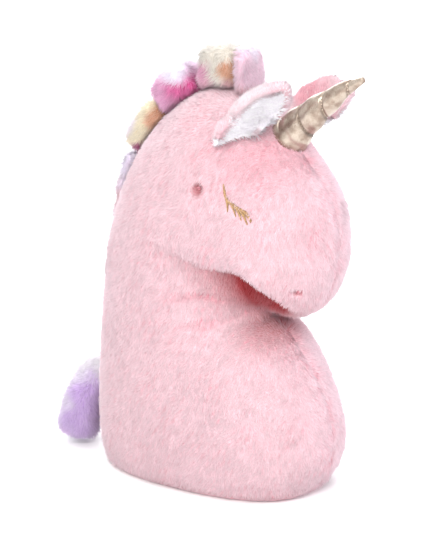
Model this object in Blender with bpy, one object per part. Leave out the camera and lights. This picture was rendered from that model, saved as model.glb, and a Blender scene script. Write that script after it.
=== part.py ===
"""Plush unicorn cushion: a stuffed bust of pink plush with a horn, ears, a tufted mane and a tail.

Metres, +Z up. The unicorn faces +X and its own left is +Y. The origin is the centre of the
flat base, which rests on Z = 0.
"""

import math

import bmesh
import bpy
import numpy as np

# ---------------------------------------------------------------- driving dimensions (metres)

GAP = 0.0003                # clearance between neighbouring pieces
PLUSH = 0.0028              # body fabric: knitted backing with its pressed pile
HALF_DEPTH = 0.072          # half of the bust's thickness, side to side
EDGE_ROUND = 0.088          # how far in from a seam the bust reaches its full thickness

# The centre seam as pairs of points (X, Z): one on the back, crown and face, and the one across
# from it on the chest, throat and jaw. The last pair is the blunt end of the snout.
SECTIONS = (
    ((-0.1140, 0.0070), (0.1030, 0.0070)),
    ((-0.1210, 0.0230), (0.1150, 0.0250)),
    ((-0.1230, 0.0520), (0.1205, 0.0500)),
    ((-0.1225, 0.0900), (0.1160, 0.0795)),
    ((-0.1205, 0.1350), (0.1020, 0.1080)),
    ((-0.1160, 0.1800), (0.0850, 0.1320)),
    ((-0.1080, 0.2230), (0.0690, 0.1500)),
    ((-0.0930, 0.2660), (0.0530, 0.1600)),
    ((-0.0690, 0.3070), (0.0590, 0.1640)),
    ((-0.0350, 0.3400), (0.0690, 0.1620)),
    ((0.0050, 0.3570), (0.0770, 0.1605)),
    ((0.0440, 0.3440), (0.0850, 0.1605)),
    ((0.0760, 0.3160), (0.0925, 0.1625)),
    ((0.0990, 0.2910), (0.0990, 0.1660)),
    ((0.1145, 0.2670), (0.1045, 0.1705)),
    ((0.1215, 0.2430), (0.1090, 0.1760)),
    ((0.1235, 0.2210), (0.1130, 0.1830)),
    ((0.1220, 0.2040), (0.1165, 0.1915)),
)
STATIONS = 27               # rows of the bust from its base to the end of the snout
ROUND_STEPS = 13            # points in each row, from the back seam to the front seam
OVAL_HEIGHT = 0.100         # below this the plan turns from a slab into the oval of the base
OVAL_POWER = 2.5            # 2 would make the base an ellipse; more makes its sides straighter
THROAT = (0.0530, 0.1600)   # the inner end of the notch between jaw and chest
THROAT_REACH = 0.050        # within this the sides swell faster, so the notch stays a crease
THROAT_BOOST = 0.45
TUCK_HEIGHT = 0.022         # below this the sides tuck in towards the base seam
TUCK = 0.10                 # share of the thickness lost at the base seam

BASE_RIM = ((0.0000, 0.0065), (0.0022, 0.0022), (0.0070, 0.0000))   # inset and height of its edge

PULL_THREADS = {            # where each sculpting thread crosses the bust (X, Z)
    "eye_pull_thread": (0.0210, 0.2790),
    "mouth_pull_thread": (0.1035, 0.1935),
}
THREAD_RADIUS = 0.0007
THREAD_HOLE = 0.0012
KNOT_RADIUS = 0.0018

LASH_LINE = ((0.0440, 0.2835), (0.0455, 0.2745), (0.0490, 0.2690), (0.0560, 0.2645),
             (0.0645, 0.2600), (0.0690, 0.2530))
LASH_COLUMNS = 9            # places along the line
LASH_BAND = 0.0020          # width of the stitching at the line's ends
LASH_REACH = 0.0070         # how much wider it is in the middle, where the lashes are
LASH_THICKNESS = 0.0010

HORN_AXIS = ((0.0690, 0.3166), (0.0824, 0.3300), (0.1007, 0.3456), (0.1259, 0.3648), (0.1430, 0.3740))
HORN_RADII = (0.0185, 0.0142, 0.0112, 0.0062, 0.0026)
HORN_TURNS, HORN_START = 4.2, 0.13  # turns of the thread that twists the horn, and where they start
HORN_WAIST = 0.16           # depth of the groove under the thread, as a share of the radius
HORN_FABRIC = 0.0012
HORN_THREAD_CLEAR = 0.0012
HORN_CLEAR = 0.0025         # room for the horn to tilt on its seam
HORN_RINGS = 31
HORN_ROOT_RINGS = 4         # rings over which the root bends to follow the forehead
HORN_SIDES = 16

EAR_ROOT_REAR = (0.0260, -0.0585, 0.3145)
EAR_ROOT_FRONT = (0.0585, -0.0285, 0.3245)
EAR_TIP = (0.0850, -0.0500, 0.3620)
EAR_LEAN = {"right": -12.0, "left": 6.0}    # degrees each soft ear leans forward about its root
EAR_TWIST = {"right": (0.0, 0.0), "left": (30.0, 42.0)}     # degrees at its root and at its tip
EAR_WIDTHS = (0.86, 1.02, 1.06, 1.00, 0.84, 0.58, 0.18)     # shares of the root's length
EAR_CUP = 0.0070            # how far the ear's edges curl forward of its middle
EAR_FABRIC = 0.0032
EAR_CLEAR = 0.0020

TAIL_PATH = ((-0.1252, 0.0, 0.0760), (-0.1345, -0.0030, 0.0740), (-0.1435, -0.0060, 0.0635),
             (-0.1490, -0.0090, 0.0475), (-0.1535, -0.0110, 0.0290), (-0.1580, -0.0120, 0.0105))
TAIL_ACROSS = (0.0026, 0.0068, 0.0130, 0.0170, 0.0190, 0.0170)
TAIL_DEEP = (0.0130, 0.0145, 0.0160, 0.0175, 0.0190, 0.0180)
TAIL_FABRIC = 0.0026
TAIL_RINGS = 12
TAIL_SIDES = 14

# The mane's tufts: where each one's root starts and ends along the crown (X), its height, its
# half width side to side, and whether it is stuffed.
TUFTS = {
    "forelock_flap": (0.0222, 0.0335, 0.0400, 0.0175, False),
    "forelock_tuft": (-0.0165, 0.0216, 0.0375, 0.0195, True),
    "crest_tuft": (-0.0540, -0.0172, 0.0310, 0.0195, True),
    "nape_tuft": (-0.0840, -0.0547, 0.0230, 0.0165, True),
}
TUFT_CLEAR = 0.0010
TUFT_FABRIC = 0.0026
TUFT_FILL_RAISED = 0.0010   # the filling stops this far short of the tuft's open root
TUFT_SIDES = 16
STRIP_FROM, STRIP_TO = -0.0860, -0.1120     # the flat end of the mane, down the back (X)
STRIP_HALF_WIDTH = 0.0145
STRIP_THICKNESS = 0.0130

PINK = (0.86, 0.55, 0.58)
WHITE = (0.88, 0.88, 0.90)
GOLD = (0.52, 0.42, 0.30)
LASH = (0.24, 0.13, 0.04)
THREAD = (0.80, 0.42, 0.46)
FILLING = (0.90, 0.90, 0.88)
BLUSH = (0.90, 0.78, 0.80)
CREAM = (0.88, 0.80, 0.66)
MAGENTA = (0.86, 0.42, 0.58)
YELLOW = (0.86, 0.78, 0.55)
LAVENDER = (0.78, 0.68, 0.82)
PURPLE = (0.58, 0.44, 0.72)


# ---------------------------------------------------------------- building blocks

def clear_scene():
    for item in list(bpy.data.objects):
        bpy.data.objects.remove(item, do_unlink=True)


def material(name, colour, roughness=0.9, metallic=0.0):
    made = bpy.data.materials.get(name) or bpy.data.materials.new(name)
    made.use_nodes = True
    shader = made.node_tree.nodes["Principled BSDF"]
    shader.inputs["Base Color"].default_value = (*colour, 1.0)
    shader.inputs["Roughness"].default_value = roughness
    shader.inputs["Metallic"].default_value = metallic
    return made


def add_object(name, mesh_data, finish, origin=(0.0, 0.0, 0.0)):
    """One closed body in an object of its own, with its origin at the given point."""
    verts, faces = mesh_data
    mesh = bpy.data.meshes.new(name)
    mesh.from_pydata([tuple(np.asarray(v) - np.asarray(origin)) for v in verts], [], faces)
    shape = bmesh.new()
    shape.from_mesh(mesh)
    if shape.calc_volume(signed=True) < 0:
        bmesh.ops.reverse_faces(shape, faces=shape.faces)
    shape.to_mesh(mesh)
    shape.free()
    mesh.shade_smooth()
    mesh.set_sharp_from_angle(angle=math.radians(50.0))
    mesh.materials.append(finish)
    item = bpy.data.objects.new(name, mesh)
    item.location = origin
    bpy.context.collection.objects.link(item)
    return item


def smooth_path(points, count):
    """Points evenly spaced in the control index along a Catmull-Rom curve."""
    given = np.asarray(points, dtype=float)
    padded = np.vstack((2 * given[0] - given[1], given, 2 * given[-1] - given[-2]))
    out = []
    for value in np.linspace(0.0, len(given) - 1.0, count):
        step = min(int(value), len(given) - 2)
        t = value - step
        p0, p1, p2, p3 = padded[step:step + 4]
        out.append(0.5 * (2 * p1 + (p2 - p0) * t + (2 * p0 - 5 * p1 + 4 * p2 - p3) * t ** 2
                          + (3 * p1 - p0 - 3 * p2 + p3) * t ** 3))
    return np.array(out)


def grid_normals(grid):
    """Unit normals of a grid of points, from the differences along its two directions."""
    along = np.gradient(grid, axis=0)
    across = np.gradient(grid, axis=1)
    normals = np.cross(across, along)
    return normals / np.linalg.norm(normals, axis=2, keepdims=True)


def short_diagonals(grid):
    """For each quad of a grid, whether the diagonal from its first corner is the shorter one."""
    first = np.linalg.norm(grid[:-1, :-1] - grid[1:, 1:], axis=2)
    second = np.linalg.norm(grid[:-1, 1:] - grid[1:, :-1], axis=2)
    return first <= second


def split_quad(corners, from_first):
    """Two triangles of a quad, cut along the diagonal from its first or from its second corner."""
    a, b, c, d = corners
    return [(a, b, c), (a, c, d)] if from_first else [(a, b, d), (b, c, d)]


def plate(outer, inner):
    """A closed sheet between two grids of points of the same size."""
    rows, columns = outer.shape[:2]
    verts = np.vstack((outer.reshape(-1, 3), inner.reshape(-1, 3)))
    below = rows * columns
    splits = short_diagonals(outer)
    faces = []
    for i in range(rows - 1):
        for j in range(columns - 1):
            a = i * columns + j
            halves = split_quad((a, a + 1, a + columns + 1, a + columns), splits[i, j])
            faces += halves
            faces += [tuple(below + k for k in face[::-1]) for face in halves]
    rim = [j for j in range(columns)]
    rim += [i * columns + columns - 1 for i in range(1, rows)]
    rim += [(rows - 1) * columns + j for j in range(columns - 2, -1, -1)]
    rim += [i * columns for i in range(rows - 2, 0, -1)]
    for a, b in zip(rim, rim[1:] + rim[:1]):
        faces.append((b, a, below + a, below + b))
    return verts, faces


def tube_quads(rings, sides, first=0):
    quads = []
    for i in range(rings - 1):
        for j in range(sides):
            k = (j + 1) % sides
            a = first + i * sides
            quads.append((a + j, a + k, a + sides + k, a + sides + j))
    return quads


def tube_faces(rings, sides, first=0):
    """Triangles between neighbouring rings, cut along the diagonal that the horn's twist follows."""
    return [face for quad in tube_quads(rings, sides, first) for face in split_quad(quad, False)]


def solid_of_rings(rings, tip=None, root=None):
    """A closed solid through a stack of rings; either end may close on a point of its own."""
    rings = np.asarray(rings)
    count, sides = rings.shape[:2]
    verts = list(rings.reshape(-1, 3))
    faces = tube_faces(count, sides)
    if root is None:
        faces.append(tuple(range(sides - 1, -1, -1)))
    else:
        verts.append(np.asarray(root))
        faces += [((j + 1) % sides, j, len(verts) - 1) for j in range(sides)]
    last = (count - 1) * sides
    if tip is None:
        faces.append(tuple(range(last, last + sides)))
    else:
        verts.append(np.asarray(tip))
        for j in range(sides):
            faces.append((last + j, last + (j + 1) % sides, len(verts) - 1))
    return verts, faces


def sleeve_of_rings(outer, inner, outer_tip, inner_tip):
    """A sleeve closed at its tip and open at its root, between two stacks of rings."""
    outer, inner = np.asarray(outer), np.asarray(inner)
    sides = outer.shape[1]
    verts = list(outer.reshape(-1, 3)) + list(inner.reshape(-1, 3))
    inside = outer.shape[0] * sides
    faces = tube_faces(outer.shape[0], sides)
    faces += [face[::-1] for face in tube_faces(inner.shape[0], sides, inside)]
    verts += [np.asarray(outer_tip), np.asarray(inner_tip)]
    for j in range(sides):
        k = (j + 1) % sides
        last = (outer.shape[0] - 1) * sides
        deep = inside + (inner.shape[0] - 1) * sides
        faces.append((last + j, last + k, len(verts) - 2))
        faces.append((deep + k, deep + j, len(verts) - 1))
        faces.append((k, j, inside + j, inside + k))
    return verts, faces


def frames_along(path, side):
    """At each point of a path: its direction, the given side made square to it, and the third."""
    path = np.asarray(path, dtype=float)
    ahead = np.gradient(path, axis=0)
    ahead /= np.linalg.norm(ahead, axis=1, keepdims=True)
    side = np.asarray(side, dtype=float)
    square = side - ahead * (ahead @ side)[:, None]
    square /= np.linalg.norm(square, axis=1, keepdims=True)
    return ahead, square, np.cross(ahead, square)


def thread_solid(path, radius=THREAD_RADIUS, sides=6):
    path = np.asarray(path, dtype=float)
    ahead, one, two = frames_along(path, (0.0, 0.83, 0.55))
    angles = np.arange(sides) * 2 * math.pi / sides
    rings = [p + radius * (np.outer(np.cos(angles), a) + np.outer(np.sin(angles), b))
             for p, a, b in zip(path, one, two)]
    return solid_of_rings(rings)


# ---------------------------------------------------------------- the stuffed bust

def seam_line():
    """The whole centre seam as one dense line in X and Z, from the back, over the face, to the chest."""
    rear = smooth_path([pair[0] for pair in SECTIONS], 240)
    front = smooth_path([pair[1] for pair in SECTIONS], 240)
    return np.vstack((rear, front[::-1]))


def distance_to(line, points):
    start, end = line[:-1], line[1:]
    run = end - start
    length = np.maximum((run ** 2).sum(axis=1), 1e-12)
    offset = points[:, None, :] - start[None, :, :]
    share = np.clip((offset * run).sum(axis=2) / length, 0.0, 1.0)
    return np.linalg.norm(offset - share[..., None] * run, axis=2).min(axis=1)


def bust_grid():
    """The right side's outer surface: rows up the bust, each from the back seam to the front."""
    rear = smooth_path([pair[0] for pair in SECTIONS], STATIONS)
    front = smooth_path([pair[1] for pair in SECTIONS], STATIONS)
    angles = np.linspace(0.0, math.pi, ROUND_STEPS)
    share = (1 - np.cos(angles)) / 2
    flat = rear[:, None, :] + (front - rear)[:, None, :] * share[None, :, None]
    depth = distance_to(seam_line(), flat.reshape(-1, 2)).reshape(flat.shape[:2])
    away = np.linalg.norm(flat - np.array(THROAT), axis=2) / THROAT_REACH
    depth = depth * (1 + THROAT_BOOST * np.exp(-away ** 2))
    rise = 1 - np.minimum(depth, EDGE_ROUND) / EDGE_ROUND
    slab = HALF_DEPTH * np.sqrt(1 - rise ** 2)
    oval = (1 - np.abs(np.cos(angles)) ** OVAL_POWER) ** (1 / OVAL_POWER)
    oval = HALF_DEPTH * oval[None, :] * np.ones_like(slab)
    height = flat[..., 1]
    mix = np.clip(height / OVAL_HEIGHT, 0.0, 1.0)
    mix = mix * mix * (3 - 2 * mix)
    thick = oval * (1 - mix) + slab * mix
    low = np.clip(1 - height / TUCK_HEIGHT, 0.0, 1.0)
    thick *= 1 - TUCK * low ** 2
    return np.stack((flat[..., 0], -thick, height), axis=2)


def seam_clear(grid, clearance):
    """Keep a half's edges just off the centre plane."""
    out = grid.copy()
    out[..., 1] = np.minimum(out[..., 1], -clearance)
    return out


def mirrored(points):
    return np.asarray(points) * np.array((1.0, -1.0, 1.0))


def half_depth_at(x, z):
    """Half of the bust's thickness above the oval base, at a place inside the seam line."""
    place = np.array([[x, z]])
    depth = distance_to(seam_line(), place)[0]
    away = np.linalg.norm(place[0] - np.array(THROAT)) / THROAT_REACH
    depth *= 1 + THROAT_BOOST * math.exp(-away ** 2)
    rise = 1 - min(depth, EDGE_ROUND) / EDGE_ROUND
    return HALF_DEPTH * math.sqrt(1 - rise ** 2)


def bust_normal(x, z, step=0.002):
    """The outward direction of the right side's surface at a place above the oval base."""
    slope_x = half_depth_at(x + step, z) - half_depth_at(x - step, z)
    slope_z = half_depth_at(x, z + step) - half_depth_at(x, z - step)
    normal = np.array((-slope_x, -2 * step, -slope_z))
    return normal / np.linalg.norm(normal)


def inside_seam(x, z):
    line = seam_line()
    low, high = line, np.roll(line, -1, axis=0)
    crosses = (low[:, 1] > z) != (high[:, 1] > z)
    span = np.where(crosses, high[:, 1] - low[:, 1], 1.0)
    at = low[:, 0] + (z - low[:, 1]) / span * (high[:, 0] - low[:, 0])
    return bool(np.count_nonzero(crosses & (x < at)) % 2)


def drop_to_bust(point, direction, clearance):
    """Move a point along a direction until it is the clearance away from the bust's surface."""
    point, direction = np.asarray(point, dtype=float), np.asarray(direction, dtype=float)
    direction = direction / np.linalg.norm(direction)

    def buried(step):
        x, y, z = point + direction * step
        return inside_seam(x, z) and abs(y) < half_depth_at(x, z)

    near, far = -0.030, 0.030
    for _ in range(18):
        middle = (near + far) / 2
        if buried(middle):
            far = middle
        else:
            near = middle
    return point + direction * (near - clearance)


def add_cutter(name, x, z):
    """A hidden rod across the bust that cuts the way for a sculpting thread."""
    bpy.ops.mesh.primitive_cylinder_add(vertices=8, radius=THREAD_HOLE, depth=4 * HALF_DEPTH,
                                        location=(x, 0.0, z), rotation=(math.pi / 2, 0.0, 0.0))
    rod = bpy.context.object
    rod.name = name
    rod.hide_render = True
    rod.display_type = "WIRE"
    return rod


def cut(item, cutters):
    for cutter in cutters:
        step = item.modifiers.new("thread_way", "BOOLEAN")
        step.operation = "DIFFERENCE"
        step.solver = "EXACT"
        step.object = cutter


def stuffing_solid(grid, splits):
    """Both halves of the stuffing in one body, with each quad split the way the panels' are."""
    rows = [np.vstack((row, mirrored(row[1:-1])[::-1])) for row in grid]
    sides, columns = len(rows[0]), grid.shape[1]
    faces = [tuple(range(sides - 1, -1, -1))]
    faces.append(tuple(range((len(rows) - 1) * sides, len(rows) * sides)))
    for corners in tube_quads(len(rows), sides):
        row, side = divmod(corners[0], sides)
        if side < columns - 1:
            faces += split_quad(corners, splits[row, side])
        else:
            faces += split_quad(corners, not splits[row, 2 * (columns - 1) - side - 1])
    return np.array(rows).reshape(-1, 3), faces


def add_bust(finishes):
    """The two side panels and the stuffing inside them."""
    grid = bust_grid()
    normals = grid_normals(grid)
    normals[:, 0, 1] = normals[:, -1, 1] = normals[-1, :, 1] = 0.0
    normals /= np.linalg.norm(normals, axis=2, keepdims=True)
    normals[0, :, 2] = 0.0
    lining = grid - normals * PLUSH
    stuffing = grid - normals * (PLUSH + 2 * GAP)
    outer, inner = seam_clear(grid, GAP / 2), seam_clear(lining, GAP / 2)
    right = add_object("right_side_panel", plate(outer, inner), finishes["pink"])
    left = add_object("left_side_panel", plate(mirrored(outer), mirrored(inner)), finishes["pink"])
    core = stuffing_solid(stuffing[:-1], short_diagonals(outer))
    filling = add_object("body_filling", core, finishes["filling"])
    cutters = [add_cutter(name + "_way", x, z) for name, (x, z) in PULL_THREADS.items()]
    for item in (right, left, filling):
        cut(item, cutters)
    return grid[0]


def add_base(bottom_row, finish):
    """The oval base: a dish of plush whose rim turns up to meet the side panels."""
    loop = np.vstack((bottom_row, mirrored(bottom_row[1:-1])[::-1]))
    middle = loop.mean(axis=0)
    out = loop - middle
    out[:, 2] = 0.0
    out /= np.linalg.norm(out, axis=1, keepdims=True)
    under = []
    for inset, height in BASE_RIM:
        ring = loop - out * inset
        ring[:, 2] = height
        under.append(ring)
    upper = [ring - out * PLUSH for ring in under[:2]]
    upper[0][:, 2] = BASE_RIM[0][1]
    upper[1][:, 2] = PLUSH
    rings = upper[::-1] + under
    verts = np.array(rings).reshape(-1, 3)
    sides = len(loop)
    faces = tube_faces(len(rings), sides)
    faces.append(tuple(range(sides - 1, -1, -1)))
    faces.append(tuple(range((len(rings) - 1) * sides, len(rings) * sides)))
    add_object("base_panel", (verts, faces), finish)


def add_pull_threads(finish):
    """Threads drawn tight across the bust, with a knot on each side that sinks a dimple."""
    for name, (x, z) in PULL_THREADS.items():
        nearby = [half_depth_at(x + KNOT_RADIUS * math.cos(t), z + KNOT_RADIUS * math.sin(t))
                  for t in (j * math.pi / 4 for j in range(8))]
        reach = max(nearby) + KNOT_RADIUS + GAP
        stops = (
            (-reach - 0.9 * KNOT_RADIUS, 0.4 * KNOT_RADIUS), (-reach - 0.4 * KNOT_RADIUS, KNOT_RADIUS),
            (-reach + 0.4 * KNOT_RADIUS, KNOT_RADIUS), (-reach + 0.9 * KNOT_RADIUS, THREAD_RADIUS),
            (0.0, THREAD_RADIUS),
        )
        stops += tuple((-y, r) for y, r in stops[-2::-1])
        angles = np.arange(8) * math.pi / 4
        rings = [np.stack((x + r * np.cos(angles), np.full(8, y), z + r * np.sin(angles)), axis=1)
                 for y, r in stops]
        add_object(name, solid_of_rings(rings), finish, origin=(x, 0.0, z))


# ---------------------------------------------------------------- the embroidered eyes

def add_eyes(finish):
    """Each closed eye: a satin-stitched crescent, as wide as its lashes are long, on the side panel."""
    line = smooth_path(LASH_LINE, LASH_COLUMNS)
    ahead = np.gradient(line, axis=0)
    ahead /= np.linalg.norm(ahead, axis=1, keepdims=True)
    rows = [[], []]
    for j, (x, z) in enumerate(line):
        reach = LASH_BAND + LASH_REACH * math.sin(math.pi * j / (LASH_COLUMNS - 1))
        below = (x + ahead[j][1] * reach, z - ahead[j][0] * reach)
        rows[0].append((x, -half_depth_at(x, z), z))
        rows[1].append((below[0], -half_depth_at(*below), below[1]))
    grid = np.array(rows)
    normals = np.array([[bust_normal(x, z) for x, _, z in row] for row in rows])
    outer = grid + normals * (GAP + LASH_THICKNESS)
    inner = grid + normals * GAP
    add_object("right_eye_embroidery", plate(outer, inner), finish)
    add_object("left_eye_embroidery", plate(mirrored(outer), mirrored(inner)), finish)


# ---------------------------------------------------------------- horn

def horn_frame(count):
    path = smooth_path([(x, 0.0, z) for x, z in HORN_AXIS], count)
    ahead, across, up = frames_along(path, (0.0, 1.0, 0.0))
    radii = smooth_path([(r, 0.0) for r in HORN_RADII], count)[:, 0]
    return path, ahead, across, up, radii


def groove(angle, turn):
    """0 on the swelling between two turns of the thread, 1 under the thread."""
    phase = (-angle / (2 * math.pi) - turn) % 1.0
    return math.exp(-((min(phase, 1 - phase)) / 0.10) ** 2)


def horn_point(i, angle, shrink, frame, count):
    path, _, across, up, radii = frame
    turn = HORN_START + HORN_TURNS * i / (count - 1)
    radius = radii[i] * (1 - HORN_WAIST * groove(angle, turn)) - shrink
    return path[i] + radius * (math.cos(angle) * across[i] + math.sin(angle) * up[i])


def add_horn(finishes):
    frame = horn_frame(HORN_RINGS)
    path, ahead, across, up, radii = frame
    angles = [2 * math.pi * j / HORN_SIDES for j in range(HORN_SIDES)]

    def rings(shrink, last):
        out = [[horn_point(i, t, shrink, frame, HORN_RINGS) for t in angles] for i in range(last)]
        out = np.array(out)
        seat = [drop_to_bust(p, -ahead[0], HORN_CLEAR + 0.5 * GAP) - p for p in out[0]]
        for i in range(HORN_ROOT_RINGS):
            out[i] += np.array(seat) * (1 - i / HORN_ROOT_RINGS)
        return out

    outer = rings(0.0, HORN_RINGS)
    inner = rings(HORN_FABRIC, HORN_RINGS - 1)
    core = rings(HORN_FABRIC + 4 * GAP, HORN_RINGS - 2)
    tip = path[-1] + ahead[-1] * radii[-1] * 0.6
    add_object("horn_cover", sleeve_of_rings(outer, inner, tip, path[-2] + ahead[-2] * 0.001),
               finishes["gold"], origin=path[0])
    add_object("horn_filling", solid_of_rings(core, path[-3] + ahead[-3] * 0.001),
               finishes["filling"], origin=path[0])
    add_horn_thread(finishes["gold"], path[0])


def add_horn_thread(finish, origin):
    """The thread wound up the horn in its groove, from just above the root to near the tip."""
    count = 64
    frame = horn_frame(count)
    route = []
    for i in range(11, count - 3):
        turn = HORN_START + HORN_TURNS * i / (count - 1)
        route.append(horn_point(i, -2 * math.pi * (turn % 1.0), -(THREAD_RADIUS + HORN_THREAD_CLEAR), frame, count))
    add_object("horn_thread", thread_solid(route, sides=5), finish, origin=origin)


# ---------------------------------------------------------------- ears

def turned(points, centre, axis, degrees):
    """Points turned about an axis through a centre, by the right-hand rule."""
    axis = np.asarray(axis, dtype=float) / np.linalg.norm(axis)
    angle = math.radians(degrees)
    rel = np.asarray(points) - centre
    spin = np.cross(axis, rel) * math.sin(angle)
    return centre + rel * math.cos(angle) + spin + axis * (rel @ axis)[..., None] * (1 - math.cos(angle))


def ear_grid(lift, hand):
    """A cupped leaf on the right side; lift moves it towards the lining's side."""
    lean = EAR_LEAN[hand]
    rear, front, tip = (np.array(p) for p in (EAR_ROOT_REAR, EAR_ROOT_FRONT, EAR_TIP))
    middle = (rear + front) / 2
    along = tip - middle
    width = np.linalg.norm(front - rear)
    across = (front - rear) / width
    facing = np.cross(across, along)
    facing /= np.linalg.norm(facing)
    rows = len(EAR_WIDTHS)
    grid = np.zeros((rows, 9, 3))
    for i, share in enumerate(EAR_WIDTHS):
        step = math.sin(0.5 * math.pi * i / (rows - 1))
        twist = math.radians(EAR_TWIST[hand][0] * (1 - step) + EAR_TWIST[hand][1] * step)
        one = across * math.cos(twist) + facing * math.sin(twist)
        two = facing * math.cos(twist) - across * math.sin(twist)
        for j in range(9):
            side = (j - 4) / 4
            curl = EAR_CUP * side * side * (0.2 + 0.8 * step) * share
            grid[i, j] = middle + along * step + one * side * share * width / 2 + two * curl
    normals = grid_normals(grid)
    normals *= np.sign((normals * facing).sum(axis=2))[..., None]
    grid = turned(grid + normals * lift, middle, across, lean)
    away = turned(middle + along, middle, across, lean) - middle
    for j in range(grid.shape[1]):
        seat = drop_to_bust(grid[0, j], -away, EAR_CLEAR) - grid[0, j]
        grid[:, j] += seat * np.linspace(1.0, 0.0, rows)[:, None]
    return grid


def add_ears(finishes):
    root = (np.array(EAR_ROOT_REAR) + np.array(EAR_ROOT_FRONT)) / 2
    layers = (
        ("outer", "pink", (-EAR_FABRIC - GAP / 2, -GAP / 2)),
        ("lining", "white", (GAP / 2, EAR_FABRIC + GAP / 2)),
    )
    for part, finish, lifts in layers:
        one, two = (ear_grid(lift, "right") for lift in lifts)
        add_object("right_ear_" + part, plate(one, two), finishes[finish], origin=root)
        one, two = (mirrored(ear_grid(lift, "left")) for lift in lifts)
        add_object("left_ear_" + part, plate(one, two), finishes[finish], origin=mirrored(root))


# ---------------------------------------------------------------- mane

def crown_curve():
    """The seam line from the back up over the crown, as dense points with X rising."""
    rear = smooth_path([pair[0] for pair in SECTIONS], 1200)
    start = int(np.argmin(np.abs(rear[:, 1] - 0.20)))
    stop = int(np.argmin(np.abs(rear[:, 0] - 0.06) + 10 * (rear[:, 1] < 0.3)))
    return rear[start:stop]


def crown_at(x):
    curve = crown_curve()
    return np.array((x, 0.0, np.interp(x, curve[:, 0], curve[:, 1])))


def tuft_frame(start, end, upright):
    """A tuft's root on the crown, and its own directions; an upright one doesn't lean outward."""
    low, high = crown_at(start), crown_at(end)
    along = (high - low) / np.linalg.norm(high - low)
    if upright:
        along = np.array((1.0, 0.0, 0.0))
    outward = np.array((-along[2], 0.0, along[0]))
    return low, high, along, outward


def tuft_rings(start, end, height, half_width, shrink, upright, raised=0.0):
    """Rounded-box rings that stand on the crown, following its curve at the root."""
    low, high, along, outward = tuft_frame(start, end, upright)
    middle = (low + high) / 2
    half_length = abs((high - low) @ along) / 2 - shrink
    half_width = half_width - shrink
    profile = ((0.0, 0.90), (0.16, 1.0), (0.55, 1.0), (0.82, 0.95), (0.95, 0.80), (1.0, 0.52))
    curve = crown_curve()
    curve = np.stack((curve[:, 0], np.zeros(len(curve)), curve[:, 1]), axis=1) - middle
    run, rise = curve @ along, curve @ outward
    order = np.argsort(run)
    rings = []
    for share, scale in profile:
        ring = []
        for j in range(TUFT_SIDES):
            angle = 2 * math.pi * (j + 0.5) / TUFT_SIDES
            c, s = math.cos(angle), math.sin(angle)
            u = half_length * scale * math.copysign(abs(c) ** 0.55, c)
            v = half_width * scale * math.copysign(abs(s) ** 0.55, s)
            foot = np.interp(u, run[order], rise[order]) + TUFT_CLEAR + raised
            level = foot + (height - shrink - foot) * share
            ring.append(middle + along * u + outward * level + np.array((0.0, v, 0.0)))
        rings.append(ring)
    return rings, middle, outward


def add_mane(finishes):
    for name, (start, end, height, half_width, stuffed) in TUFTS.items():
        size = (start, end, height, half_width)
        upright = name.startswith("forelock")
        outer, middle, outward = tuft_rings(*size, 0.0, upright)
        top = middle + outward * (height + 0.001)
        if not stuffed:
            add_object(name, solid_of_rings(outer, top), finishes[name], origin=middle)
            continue
        inner, _, _ = tuft_rings(*size, TUFT_FABRIC, upright)
        core, _, _ = tuft_rings(*size, TUFT_FABRIC + GAP, upright, TUFT_FILL_RAISED)
        below = middle + outward * (height - TUFT_FABRIC + 0.0005)
        add_object(name + "_cover", sleeve_of_rings(outer, inner, top, below), finishes[name],
                   origin=middle)
        deep = middle + outward * (height - TUFT_FABRIC - GAP)
        seat = crown_at(middle[0]) + outward * (TUFT_CLEAR + TUFT_FILL_RAISED)
        add_object(name + "_filling", solid_of_rings(core, deep, seat), finishes["filling"],
                   origin=middle)
    add_strip(finishes["nape_strip"])


def add_strip(finish):
    """The flat end of the mane, sewn down the back below the last tuft."""
    rows = []
    for i, x in enumerate(np.linspace(STRIP_FROM, STRIP_TO, 7)):
        here = crown_at(x)
        ahead = crown_at(x + 0.001) - crown_at(x - 0.001)
        outward = np.array((-ahead[2], 0.0, ahead[0])) / np.linalg.norm(ahead)
        narrow = math.sqrt(max(0.12, 1 - (i / 6.3) ** 3))
        rows.append((here, outward, STRIP_HALF_WIDTH * narrow, STRIP_THICKNESS * (1 - 0.55 * i / 6)))
    sides = 10
    rings = []
    for here, outward, half, thick in rows:
        ring = []
        for j in range(sides):
            angle = 2 * math.pi * j / sides
            c, s = math.cos(angle), math.sin(angle)
            ring.append(here + np.array((0.0, half * c, 0.0))
                        + outward * (0.0006 + thick / 2 + thick / 2 * s))
        rings.append(ring)
    add_object("nape_strip", solid_of_rings(rings), finish)


# ---------------------------------------------------------------- tail

def tail_rings(shrink, count):
    path = smooth_path(TAIL_PATH, TAIL_RINGS)
    radii = smooth_path(list(zip(TAIL_ACROSS, TAIL_DEEP)), TAIL_RINGS)
    _, across, deep = frames_along(path, (0.0, 1.0, 0.0))
    rings = []
    for i in range(count):
        wide, tall = radii[i] - shrink
        wide, tall = max(wide, 0.0008), max(tall, 0.0008)
        rings.append([path[i] + wide * math.cos(t) * across[i] + tall * math.sin(t) * deep[i]
                      for t in (2 * math.pi * j / TAIL_SIDES for j in range(TAIL_SIDES))])
    return rings, path


def add_tail(finishes):
    outer, path = tail_rings(0.0, TAIL_RINGS)
    inner, _ = tail_rings(TAIL_FABRIC, TAIL_RINGS - 1)
    core, _ = tail_rings(TAIL_FABRIC + 2 * GAP, TAIL_RINGS - 1)
    end = path[-1] - np.array((0.0, 0.0, 0.0045))
    add_object("tail_cover", sleeve_of_rings(outer, inner, end, path[-1] + np.array((0, 0, 0.002))),
               finishes["tail"], origin=path[0])
    add_object("tail_filling", solid_of_rings(core[1:], path[-1] + np.array((0, 0, 0.0026))),
               finishes["filling"], origin=path[0])


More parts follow.
